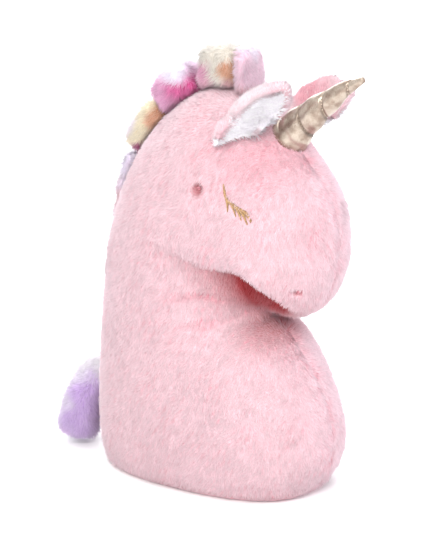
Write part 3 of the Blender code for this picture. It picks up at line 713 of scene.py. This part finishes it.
def bust_dye(places, up):
    """Pink with paler and deeper flecks and a darker base seam, and painted shade in the throat, under the
    jaw's fold, in the dimples, along the neck's creases and under the horn and ear.
    """
    z = places[:, 2]
    flecks = ripple(places * np.array((1.0, 1.0, 0.7)), 0.0032, 41) + 0.5 * ripple(places, 0.030, 42)
    fleck_and_shade = 0.50 * step_up(flecks, 0.15, 1.5)
    # Painted shade in spots under the horn and ear, and a rose tint in streaks along the centre seam.
    shade_and_seam_tint = spots(places, HORN_AND_EAR_SHADE_SPOTS)
    shade_and_seam_tint += 0.45 * bell(places[:, 1], 0.007) * step_up(ripple(places, 0.010, 43), -0.4, 0.9)
    # The neck's creases are painted in the deeper pink as painted shade.
    fleck_and_shade = np.clip(fleck_and_shade + shade_and_seam_tint + 0.55 * neck_creases(places), 0, 1)[:, None]
    colour = PINK * (1 - fleck_and_shade) + PINK_FLECK_AND_SHADE * fleck_and_shade

    # Painted shade under the jaw's fold, in the throat and in the dimples; a darker line along the base
    # seam.
    below, depth = fold_depth(places)
    under = step_up(below, -0.0005, 0.0030)
    shade = np.clip(depth / 0.0095, 0, 1) ** 1.5 * under * bell(np.maximum(below - 0.003, 0), 0.012)
    throat = spots(places, THROAT_SHADE_SPOTS)
    shade = np.clip(0.75 * shade + throat * np.maximum(under, bell(places[:, 1], 0.03)), 0, 0.96)
    shade = np.maximum(shade, 0.45 * pocket(places, EYE_POCKET, (0.0066, 0.0078)))
    shade = np.maximum(shade, 0.60 * pocket(places, MOUTH_POCKET, (0.0034, 0.0030)))
    shade = np.maximum(shade, 0.30 * bell(z - BASE_SEAM_Z, 0.0022) * (1 - np.abs(up[:, 2])))[:, None]
    return colour * (1 - shade) + PINK_SHADE_AND_SEAM * shade


def bust_flow(places, up):
    """The nap lies down and a little back; on the crown it falls to both sides."""
    flow = np.tile(np.array((-0.25, 0.0, -1.0)), (len(places), 1))
    flow[:, 1] = 0.8 * np.sign(places[:, 1]) * step_up(up[:, 2], 0.2, 0.9)
    flow[:, 0] -= 0.8 * step_up(up[:, 2], 0.3, 0.9)
    return flow


def near_line(places, line, reach):
    """True where a place lies within reach of a line of X, Z points."""
    flat = places[:, [0, 2]]
    found = np.zeros(len(places), dtype=bool)
    line = np.asarray(line)
    for start, end in zip(line[:-1], line[1:]):
        run = end - start
        share = np.clip((flat - start) @ run / (run @ run), 0.0, 1.0)
        found |= np.linalg.norm(flat - start - share[:, None] * run, axis=1) < reach
    return found


def bust_short(places, up):
    """Pile is cropped in the dimples, under the stitching, along the base seam and under the base."""
    share = np.ones(len(places))
    share -= 0.75 * pocket(places, EYE_POCKET, (0.0056, 0.0066))
    share -= 0.70 * pocket(places, MOUTH_POCKET, (0.0030, 0.0026))
    share[near_line(places, LASH_LINE, 0.0016)] = 0.0
    for lash in LASHES:
        share[near_line(places, lash, 0.0009)] = 0.0
    share *= 1 - 0.5 * bell(places[:, 2] - BASE_SEAM_Z, 0.0012)
    share *= step_up(places[:, 2], 0.0008, 0.0060)
    return share


def split_faces(source, name, chosen):
    """A copy of a mesh object that keeps only the chosen faces."""
    shape = bmesh.new()
    shape.from_mesh(source.data)
    drop = [face for face, keep in zip(shape.faces, chosen) if not keep]
    bmesh.ops.delete(shape, geom=drop, context="FACES")
    mesh = bpy.data.meshes.new(name)
    shape.to_mesh(mesh)
    shape.free()
    mesh.shade_smooth()
    return linked(name, mesh)


def build_bust():
    """The covers, pile and stuffing of the bust. Gives its surface, for the stitching."""
    whole = joined_copy("bust_cloth", ("right_side_panel", "left_side_panel", "base_panel",
                                       "body_filling"))
    remesh(whole, BODY_VOXEL)
    relax(whole, 14)
    places = places_of(whole.data)
    places[:, 2] = np.where(places[:, 2] < 0.0025, 0.0, places[:, 2])
    move_to(whole.data, places)
    seams = np.maximum(bell(places[:, 1], 0.004), bell(places[:, 2] - BASE_SEAM_Z, 0.006))
    held = np.maximum(seams, 1 - step_up(places[:, 2], 0.002, 0.010))
    inflate(whole, BODY_PRESSURE, BODY_CAP, held)
    subdivide(whole)
    sculpt_bust(whole)
    stuffing("body_stuffing", whole, 0.0040, "body_filling", "bust")

    mesh = whole.data
    middle = np.empty(len(mesh.polygons) * 3)
    mesh.polygons.foreach_get("center", middle)
    middle = middle.reshape(-1, 3)
    on_base = middle[:, 2] < BASE_SEAM_Z
    sides = (("right", ~on_base & (middle[:, 1] <= 0), 100),
             ("left", ~on_base & (middle[:, 1] > 0), 200))
    for hand, chosen, seed in sides:
        cover = split_faces(whole, hand + "_cover", chosen)
        cover_up(cover, bust_dye)
        pile = grow_pile(hand + "_pile", cover, bust_dye, bust_flow, seed, short=bust_short)
        dress(cover, "bust", "pink_plush", hand + "_side_panel")
        dress(pile, "bust", "pink_plush")
    base = split_faces(whole, "base_cover", on_base)
    cover_up(base, bust_dye)
    pile = grow_pile("base_pile", base, bust_dye, bust_flow, 300, length=0.0030, short=bust_short)
    dress(base, "bust", "pink_plush", "base_panel")
    dress(pile, "bust", "pink_plush")
    surface = BVHTree.FromObject(whole, bpy.context.evaluated_depsgraph_get())
    bpy.data.objects.remove(whole)
    return surface


# ---------------------------------------------------------------- threads and lashes

def side_point(surface, x, z, hand, lift=0.0):
    """The point of the bust's side at X, Z, lifted along its normal; hand is -1 for the right."""
    place, normal, _, _ = surface.ray_cast(Vector((x, hand * 0.2, z)), Vector((0, -hand, 0)))
    return np.array(place + normal * lift)


def build_pull_threads(surface):
    """The threads that draw in the eye and mouth dimples, with a knot at each end."""
    for name, (x, z), radius in (("eye_pull_thread", EYE_POCKET, 0.0013),
                                 ("mouth_pull_thread", MOUTH_POCKET, 0.0010)):
        ends = [side_point(surface, x, z, hand) for hand in (-1, 1)]
        parts = [tube(np.linspace(ends[0], ends[1], 9), 0.0006)]
        for end, hand in zip(ends, (-1, 1)):
            coil = [end + np.array((math.cos(t) * radius, hand * (0.0002 * t), math.sin(t) * radius * 0.8))
                    for t in np.linspace(0, 5 * math.pi, 40)]
            parts.append(tube(coil, 0.00055, sides=5))
        item = linked(name + "_knotted", made_mesh(name, *merged(parts)))
        item.data.materials.append(PINK_THREAD)
        dress(item, "bust", "thread", name)


def stitch(start, end, bow):
    """One satin stitch: a short thread that arches over the cloth."""
    steps = np.linspace(0.0, 1.0, 6)[:, None]
    path = start * (1 - steps) + end * steps + bow * (4 * steps * (1 - steps))
    return tube(path, LASH_STITCH * np.array((0.6, 1.0, 1.05, 1.05, 1.0, 0.6)), sides=6)


def satin(surface, line, widths, hand):
    """Stitches side by side across a line, as wide as the widths along it."""
    line = np.asarray(line, dtype=float)
    run = np.concatenate(((0.0,), np.cumsum(np.linalg.norm(np.diff(line, axis=0), axis=1))))
    count = max(6, int(run[-1] / STITCH_SPACING))
    stops = np.linspace(0, run[-1], count)
    centres = np.stack([np.interp(stops, run, line[:, k]) for k in (0, 1)], axis=1)
    wide = np.interp(stops, np.linspace(0, run[-1], len(widths)), widths)
    ahead = unit(np.gradient(centres, axis=0))
    across = np.stack((ahead[:, 1], -ahead[:, 0]), axis=1)
    slant = unit(across + 0.45 * ahead)
    parts = []
    for centre, way, width in zip(centres, slant, wide):
        one, two = centre - way * width / 2, centre + way * width / 2
        start, end = (side_point(surface, *p, hand, 0.0006) for p in (one, two))
        parts.append(stitch(start, end, np.array((0.0, hand * (0.0006 + 0.2 * width), 0.0))))
    return parts


def curve_through(points, count):
    """Points along a Catmull-Rom curve."""
    given = np.asarray(points, dtype=float)
    padded = np.vstack((2 * given[0] - given[1], given, 2 * given[-1] - given[-2]))
    out = []
    for value in np.linspace(0.0, len(given) - 1.0, count):
        step = min(int(value), len(given) - 2)
        t = value - step
        p0, p1, p2, p3 = padded[step:step + 4]
        out.append(0.5 * (2 * p1 + (p2 - p0) * t + (2 * p0 - 5 * p1 + 4 * p2 - p3) * t ** 2
                          + (3 * p1 - p0 - 3 * p2 + p3) * t ** 3))
    return np.array(out)


def build_eyes(surface):
    """The closed eyes: one embroidered line and five lashes on each side."""
    for name, hand in (("right", -1), ("left", 1)):
        line = curve_through(LASH_LINE, 30)
        parts = satin(surface, line, LASH_LINE_WIDTHS, hand)
        for root, tip in LASHES:
            lash = curve_through((root, (np.array(root) + np.array(tip)) / 2 + 0.0003, tip), 10)
            parts += satin(surface, lash, LASH_WIDTHS, hand)
        item = linked(name + "_lashes", made_mesh(name + "_lashes", *merged(parts)))
        item.data.materials.append(LASH_THREAD)
        dress(item, "bust", "lash_thread", name + "_eye_embroidery")


# ---------------------------------------------------------------- horn

def horn_rings(rings, sides, shrink=0.0):
    """The horn's surface: a bent cone pinched by a thread that winds round it.

    Gives its rings, its axis, the axis's direction, and how deep in a fold each point lies.
    """
    path = curve_through([(x, 0.0, z) for x, z in HORN_AXIS], rings)
    radii = curve_through([(r, 0.0) for r in HORN_RADII], rings)[:, 0]
    ahead = unit(np.gradient(path, axis=0))
    across = np.tile(np.array((0.0, 1.0, 0.0)), (rings, 1))
    up = np.cross(ahead, across)
    angles = np.arange(sides) * 2 * math.pi / sides
    along = np.linspace(0, 1, rings)
    turn = HORN_START + HORN_TURNS * along
    phase = (-angles[None, :] / (2 * math.pi) - turn[:, None] + 0.5) % 1.0 - 0.5
    sewn = step_up(along, 0.09, 0.19)[:, None]      # the thread starts a little above the root
    pinch = np.exp(-(phase / 0.045) ** 2) * sewn
    belly = 0.05 * np.cos(2 * math.pi * phase) * sewn
    gather = np.sin(angles * HORN_GATHERS + turn[:, None] * 2 * math.pi * HORN_GATHERS) * sewn
    lip = np.exp(-((phase - 0.055) / 0.040) ** 2) + 0.5 * np.exp(-((phase + 0.060) / 0.035) ** 2)
    crease = np.sin(angles * 7 + turn[:, None] * 9) * 0.010
    rim = 1 - 0.10 * np.exp(-(along / 0.03) ** 2)[:, None]
    scale = rim * (1 - HORN_GROOVE * pinch - belly + 0.050 * lip * gather + crease)
    wide = radii[:, None] * scale - shrink
    out = np.cos(angles)[None, :, None] * across[:, None] + np.sin(angles)[None, :, None] * up[:, None]
    # Painted shade for the foil: darkest in the groove and between the gathers beside it.
    fold = np.clip(0.9 * np.exp(-(phase / 0.024) ** 2) * sewn - 0.75 * lip * gather, 0.0, 1.0)
    return path[:, None] + out * wide[..., None], path, ahead, fold


def ring_mesh(name, grid, root, tip):
    """A closed mesh of rings, with a fan of triangles to a point at each end."""
    rings, sides = grid.shape[:2]
    faces = ring_faces(rings, sides)
    places = np.vstack((grid.reshape(-1, 3), root[None], tip[None]))
    last = (rings - 1) * sides
    for j in range(sides):
        k = (j + 1) % sides
        faces.append((k, j, len(places) - 2))
        faces.append((last + j, last + k, len(places) - 1))
    mesh = made_mesh(name, places, faces)
    shape = bmesh.new()
    shape.from_mesh(mesh)
    if shape.calc_volume(signed=True) < 0:
        bmesh.ops.reverse_faces(shape, faces=shape.faces)
        shape.to_mesh(mesh)
    shape.free()
    return mesh


def build_horn():
    """The horn's cover, stuffing, and the beaded thread in its groove."""
    grid, path, ahead, fold = horn_rings(HORN_RINGS, HORN_SIDES)
    cover = linked("horn_foil_cover",
                   ring_mesh("horn_foil_cover", grid, path[0], path[-1] + ahead[-1] * HORN_TIP))
    # The fold tone is painted on as shade for the foil, dark at the root's point.
    paint(cover.data, "fold", np.concatenate((fold.ravel(), (1.0, 0.2))))
    cover.data.materials.append(GOLD_FOIL)
    dress(cover, "horn", "gold_fabric", "horn_cover")

    core = horn_rings(HORN_CORE_RINGS, HORN_CORE_SIDES, shrink=HORN_CORE_INSET)[0][2:-3]
    fill = linked("horn_stuffing",
                  ring_mesh("horn_stuffing", core, core[0].mean(axis=0), core[-1].mean(axis=0)))
    fill.data.materials.append(FIBRE_FILL)
    dress(fill, "horn", "filling", "horn_filling")

    turn = HORN_START + HORN_TURNS * np.linspace(0, 1, HORN_RINGS)
    route = []
    for i in range(int(THREAD_FROM * HORN_RINGS), HORN_RINGS - THREAD_SHORT):
        j = int(round(-turn[i] * HORN_SIDES)) % HORN_SIDES
        route.append(path[i] + (grid[i, j] - path[i]) * THREAD_LIFT)
    route = np.array(route)
    for _ in range(4):
        route[1:-1] = (route[:-2] + 2 * route[1:-1] + route[2:]) / 4
    route = curve_through(route[::2], THREAD_POINTS)
    run = np.concatenate(((0.0,), np.cumsum(np.linalg.norm(np.diff(route, axis=0), axis=1))))
    beads = THREAD_RADIUS + BEAD_SWELL * np.sin(2 * math.pi * run / BEAD_LENGTH)
    wound = linked("horn_wound_thread", made_mesh("horn_wound_thread", *tube(route, beads, sides=8)))
    paint(wound.data, "fold", np.zeros(len(wound.data.vertices)))
    wound.data.materials.append(GOLD_FOIL)
    dress(wound, "horn", "gold_fabric", "horn_thread")


# ---------------------------------------------------------------- ears

def ear_edges(node, hand):
    """The two long edges of an ear, from its root to its tip, read off its CAD solid."""
    places = places_of(NODES[node].data)
    rear, front = (np.array(point) * (1, hand, 1) for point in (EAR_ROOT_REAR, EAR_ROOT_FRONT))
    middle = (rear + front) / 2
    across = unit(front - rear)
    tip = places[np.argmax(np.linalg.norm(places - middle, axis=1))]
    share = (places - middle) @ (tip - middle) / ((tip - middle) @ (tip - middle))
    side = (places - middle) @ across
    edges = []
    for sign in (-1, 1):
        edge = []
        for stop in np.linspace(0.06, 0.86, 7):
            band = np.nonzero(np.abs(share - stop) < 0.09)[0]
            edge.append(places[band[np.argmax(sign * side[band])]])
        edge.append(tip)
        edges.append(curve_through(edge, EAR_EDGE_POINTS))
    return edges


def near_path(places, path, reach):
    """1 on a path and 0 beyond its reach."""
    away = np.linalg.norm(places[:, None] - path[None], axis=2).min(axis=1)
    return 1 - step_up(away, 0.35 * reach, reach)


def build_ears():
    """Each ear: pink outer cloth with a rolled rim, and a white lining fringed along its front."""
    ear_flow = steady(0.35, 0.0, 0.9)
    seed = 400
    for hand, sign in (("right", 1), ("left", -1)):
        body = hand + "_ear"
        outer, lining = body + "_outer", body + "_lining"
        rear, front = ear_edges(lining, sign)

        cover = joined_copy(outer + "_cloth", (outer,))
        # The rim rolls up the rear edge, round the tip and part of the way down the front.
        around = np.vstack((rear[0:1], rear[3::6], rear[-1:], front[-5:-14:-4]))
        thick = np.interp(np.linspace(0, 1, EAR_RIM_POINTS), EAR_RIM_STOPS, EAR_RIM_RADII)
        add_to(cover, tube(curve_through(around, EAR_RIM_POINTS), thick, 10))
        remesh(cover, EAR_VOXEL)
        relax(cover, 14)
        stop, size, tint, blot_seed = EAR_BLOTS[hand]
        pink = tie_dye(PINK, ((rear[stop], size, tint),), blot_seed)
        cover_up(cover, pink)
        pile = grow_pile(outer + "_pile", cover, pink, ear_flow, seed, length=0.0046,
                         spacing=0.00100, width=0.0009, lean=50.0)
        dress(cover, body, "pink_plush", outer)
        dress(pile, body, "pink_plush")

        cover = joined_copy(lining + "_cloth", (lining,))
        remesh(cover, EAR_VOXEL)
        relax(cover, 24)
        white = tie_dye(WHITE, ((front[4], (0.008, 0.008, 0.004), PINK_PALE),), 29)
        cover_up(cover, white)

        def fringed(places, up):
            return 1.0 + 0.55 * near_path(places, front, 0.005)

        pile = grow_pile(lining + "_pile", cover, white, ear_flow, seed + 10, length=0.0056,
                         spacing=0.00095, width=0.0009, lean=46.0, short=fringed)
        dress(cover, body, "white_plush", lining)
        dress(pile, body, "white_plush")
        seed += 20


# ---------------------------------------------------------------- mane and tail

def build_tuft(name, node, body, slot, dye, flow, seed, filling=None, cap=0.0036, wrinkle=0.0012):
    """A stuffed (or flat) tuft of long plush, grown from its CAD solids."""
    cover = joined_copy(name + "_cloth", (node, filling) if filling else (node,))
    remesh(cover, TUFT_VOXEL)
    relax(cover, 8)
    places = places_of(cover.data)
    root = step_up(places[:, 2].min() + 0.008 - places[:, 2], 0.0, 0.006)
    inflate(cover, TUFT_PRESSURE, cap, root, frames=12)
    subdivide(cover)
    places, up = places_of(cover.data), normals_of(cover.data)
    push = wrinkle * ripple(places, 0.016, seed + 5) - 0.0012
    move_to(cover.data, places + up * push[:, None])
    if filling:
        stuffing(name + "_stuffing", cover, 0.0030, filling, body)
    cover_up(cover, dye)
    pile = grow_pile(name + "_pile", cover, dye, flow, seed, length=TUFT_PILE, spacing=0.00115,
                     width=0.0010, lean=50.0, sway=0.8)
    dress(cover, body, slot, node)
    dress(pile, body, slot)


def build_mane():
    """The tie-dyed tufts, from the forelock to the nape, and the flat strip below them."""
    falling = steady(-0.3, -0.1, -1.0)
    flap = tie_dye(BLUSH, (((0.029, -0.02, 0.352), (0.020, 0.03, 0.012), ROSE),
                           ((0.022, 0.0, 0.392), (0.02, 0.03, 0.010), LILAC)), 21)
    build_tuft("forelock_flap", "forelock_flap", "forelock_flap", "blush_plush", flap, falling, 500)
    # The tan blot at the tuft's front edge is painted shade beside the flap that overlaps it.
    tuft = tie_dye(CREAM, (((-0.016, -0.018, 0.365), (0.017, 0.04, 0.016), MAUVE),
                           ((0.020, -0.020, 0.372), (0.010, 0.04, 0.016), TAN_SHADE),
                           ((0.000, -0.020, 0.390), (0.020, 0.04, 0.010), CREAM),
                           ((0.010, -0.020, 0.355), (0.016, 0.04, 0.008), ROSE)), 22)
    build_tuft("forelock_tuft", "forelock_tuft_cover", "forelock_tuft", "cream_plush", tuft, falling,
               520, "forelock_tuft_filling")
    crest = tie_dye(ORCHID, (((-0.025, -0.020, 0.352), (0.022, 0.05, 0.016), MAGENTA),
                             ((-0.045, -0.015, 0.368), (0.026, 0.05, 0.012), LILAC),
                             ((-0.058, -0.015, 0.345), (0.014, 0.05, 0.014), ORCHID)), 23)
    build_tuft("crest_tuft", "crest_tuft_cover", "crest_tuft", "magenta_plush", crest, falling, 540,
               "crest_tuft_filling", wrinkle=0.0014)
    # The tan blot at the nape's front end is painted shade in its crease with the crest.
    nape = tie_dye(STRAW, (((-0.062, -0.016, 0.322), (0.010, 0.04, 0.014), TAN_SHADE),
                           ((-0.094, -0.010, 0.318), (0.010, 0.04, 0.022), LAVENDER),
                           ((-0.080, -0.010, 0.290), (0.012, 0.04, 0.008), PLUM)), 24)
    build_tuft("nape_tuft", "nape_tuft_cover", "nape_tuft", "yellow_plush", nape, falling, 560,
               "nape_tuft_filling")
    strip = tie_dye(LAVENDER, (((-0.110, 0.0, 0.240), (0.02, 0.03, 0.022), ROSE),), 25)
    build_tuft("nape_strip", "nape_strip", "bust", "lavender_plush", strip, falling, 580, cap=0.0016)


def build_tail():
    hanging = steady(-0.3, -0.05, -1.0)
    dye = tie_dye(LAVENDER, (((-0.132, 0.0, 0.084), (0.024, 0.05, 0.020), PEARL),
                             ((-0.140, -0.020, 0.046), (0.015, 0.03, 0.026), PURPLE),
                             ((-0.150, -0.026, 0.022), (0.022, 0.04, 0.020), PURPLE),
                             ((-0.166, -0.010, 0.008), (0.014, 0.04, 0.010), VIOLET)), 26)
    build_tuft("tail", "tail_cover", "tail", "purple_plush", dye, hanging, 600, "tail_filling")


# ---------------------------------------------------------------- studio

def build_studio():
    """Sky, paper floor, lamps and camera."""
    scene = bpy.context.scene
    scene.view_settings.view_transform = "Standard"
    world = bpy.data.worlds.new("studio")
    scene.world = world
    world.use_nodes = True
    sky = world.node_tree.nodes["Background"]
    sky.inputs["Color"].default_value = SKY_COLOUR
    sky.inputs["Strength"].default_value = SKY_STRENGTH

    corners = [(x * FLOOR_HALF, y * FLOOR_HALF, 0.0) for x, y in ((-1, -1), (1, -1), (1, 1), (-1, 1))]
    floor = linked("studio_floor", made_mesh("studio_floor", corners, [(0, 1, 2, 3)]))
    floor.location.z = -FLOOR_DROP
    made, _, _, shader = blank("studio_paper")
    shader.inputs["Base Color"].default_value = (0.93, 0.93, 0.93, 1.0)
    shader.inputs["Roughness"].default_value = 0.9
    floor.data.materials.append(made)

    for name, place, size, power, colour in LAMPS:
        lamp = bpy.data.lights.new(name, "AREA")
        lamp.shape = "SQUARE"
        lamp.size = size
        lamp.energy = power
        lamp.color = colour
        item = linked(name, lamp)
        item.location = place
        item.rotation_mode = "QUATERNION"
        aim = Vector(LAMP_AIM) - Vector(place)
        item.rotation_quaternion = aim.to_track_quat("-Z", "Y")

    turn, rise = math.radians(CAMERA_AZIMUTH), math.radians(CAMERA_ELEVATION)
    right = Vector((math.cos(turn), math.sin(turn), 0.0))
    back = Vector((math.sin(turn) * math.cos(rise), -math.cos(turn) * math.cos(rise), math.sin(rise)))
    up = back.cross(right)
    lens = bpy.data.cameras.new("camera")
    lens.sensor_width = SENSOR
    lens.lens = LENS
    camera = linked("camera", lens)
    camera.location = right * CAMERA_SIDE + up * CAMERA_RISE + back * CAMERA_DISTANCE
    camera.rotation_mode = "QUATERNION"
    camera.rotation_quaternion = Matrix((right, up, back)).transposed().to_quaternion()
    scene.camera = camera


bust_surface = build_bust()
build_pull_threads(bust_surface)
build_eyes(bust_surface)
build_horn()
build_ears()
build_mane()
build_tail()
build_studio()
